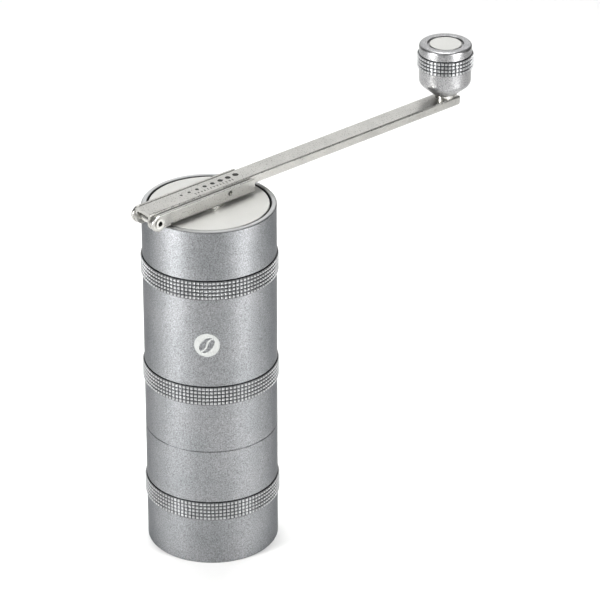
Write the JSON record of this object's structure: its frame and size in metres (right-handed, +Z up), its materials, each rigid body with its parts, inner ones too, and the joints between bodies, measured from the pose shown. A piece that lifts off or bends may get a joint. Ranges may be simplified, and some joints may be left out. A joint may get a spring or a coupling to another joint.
{
  "type": "hand crank coffee grinder",
  "caption": "Slim aluminium hand crank coffee grinder: knurled barrel with hopper and conical burrs, screw-on catch cup, lift-off lid, folding channel crank and a turning knob.",
  "frame": {"origin": "centre of the catch cup's flat underside, on the barrel's axis", "axes": "+Z up the barrel, +X along the crank arm towards the knob, +Y completes a right-handed frame"},
  "size_m": [0.1693, 0.0532, 0.1762],
  "materials": {
    "shell_aluminium": "bead blasted and clear anodised",
    "grip_aluminium": "knurled and clear anodised",
    "lid_aluminium": "fine bead blasted, pale",
    "crank_steel": "tumbled stainless sheet",
    "bright_steel": "turned and polished",
    "burr_steel": "ground hardened steel",
    "bearing_steel": "polished",
    "spring_steel": "drawn wire",
    "screw_steel": "zinc plated",
    "bush_brass": "turned",
    "bridge_plastic": "moulded, glass filled",
    "dial_plastic": "moulded",
    "seal_rubber": "moulded silicone"
  },
  "bodies": {
    "cup": {"catch_cup": "shell_aluminium", "cup_grip_ring": "grip_aluminium"},
    "barrel": {"barrel": "shell_aluminium", "middle_grip_ring": "grip_aluminium", "upper_grip_ring": "grip_aluminium", "upper_bridge": "bridge_plastic", "lower_bridge": "bridge_plastic", "burr_carrier": "bridge_plastic", "bridge_screws": "screw_steel", "outer_burr": "burr_steel", "upper_bearing_outer_race": "bearing_steel", "upper_bearing_shields": "bearing_steel", "lower_bearing_outer_race": "bearing_steel", "lower_bearing_shields": "bearing_steel"},
    "lid": {"lid_plate": "lid_aluminium", "lid_seal": "seal_rubber", "lid_bush": "bush_brass"},
    "crank": {"crank_hub": "bright_steel", "hub_clip": "spring_steel", "hub_screw": "screw_steel", "crank_bracket": "crank_steel", "hinge_rivet": "bright_steel"},
    "arm": {"crank_arm": "crank_steel", "hinge_washers": "bright_steel", "knob_axle": "bright_steel", "knob_washer": "bright_steel", "knob_screw": "screw_steel"},
    "knob": {"knob_body": "grip_aluminium", "knob_cap": "lid_aluminium", "knob_bush_lower": "bush_brass", "knob_bush_upper": "bush_brass"},
    "shaft": {"drive_shaft": "bright_steel", "upper_bearing_inner_race": "bearing_steel", "lower_bearing_inner_race": "bearing_steel", "spring_washer": "bright_steel", "burr_spring": "spring_steel"},
    "upper_balls": {"upper_bearing_balls": "bearing_steel", "upper_bearing_cage": "bearing_steel"},
    "lower_balls": {"lower_bearing_balls": "bearing_steel", "lower_bearing_cage": "bearing_steel"},
    "burr": {"inner_burr": "burr_steel", "click_plate": "bright_steel"},
    "dial": {"adjuster_dial": "dial_plastic", "click_balls": "bearing_steel", "click_springs": "spring_steel"}
  },
  "joints": [
    {"name": "barrel_lift", "type": "slide", "parent": "cup", "child": "barrel", "axis": [0, 0, 1], "range_m": [0, 0.05]},
    {"name": "lid_lift", "type": "slide", "parent": "barrel", "child": "lid", "axis": [0, 0, 1], "range_m": [0, 0.03]},
    {"name": "crank_turn", "type": "hinge", "parent": "lid", "child": "crank", "pos_m": [0, 0, 0.146], "axis": [0, 0, 1], "continuous": true},
    {"name": "arm_fold", "type": "hinge", "parent": "crank", "child": "arm", "pos_m": [-0.0298, 0, 0.1493], "axis": [0, -1, 0], "range_deg": [0, 255]},
    {"name": "knob_spin", "type": "hinge", "parent": "arm", "child": "knob", "pos_m": [0.1248, 0, 0.165], "axis": [0, 0, 1], "continuous": true},
    {"name": "shaft_turn", "type": "hinge", "parent": "barrel", "child": "shaft", "pos_m": [0, 0, 0.1], "axis": [0, 0, 1], "continuous": true},
    {"name": "upper_cage_turn", "type": "hinge", "parent": "barrel", "child": "upper_balls", "pos_m": [0, 0, 0.13], "axis": [0, 0, 1], "continuous": true},
    {"name": "lower_cage_turn", "type": "hinge", "parent": "barrel", "child": "lower_balls", "pos_m": [0, 0, 0.0718], "axis": [0, 0, 1], "continuous": true},
    {"name": "burr_travel", "type": "slide", "parent": "shaft", "child": "burr", "axis": [0, 0, -1], "range_m": [0, 0.0016], "deforming": ["burr_spring"]},
    {"name": "dial_turn", "type": "hinge", "parent": "burr", "child": "dial", "pos_m": [0, 0, 0.05], "axis": [0, 0, -1], "range_deg": [0, 720]}
  ],
  "couplings": [
    {"joint": "shaft_turn", "follows": "crank_turn", "ratio": 1},
    {"joint": "upper_cage_turn", "follows": "crank_turn", "ratio": 0.38571},
    {"joint": "lower_cage_turn", "follows": "crank_turn", "ratio": 0.38571},
    {"joint": "dial_turn", "follows": "burr_travel", "rad_per_m": 7853.9}
  ]
}
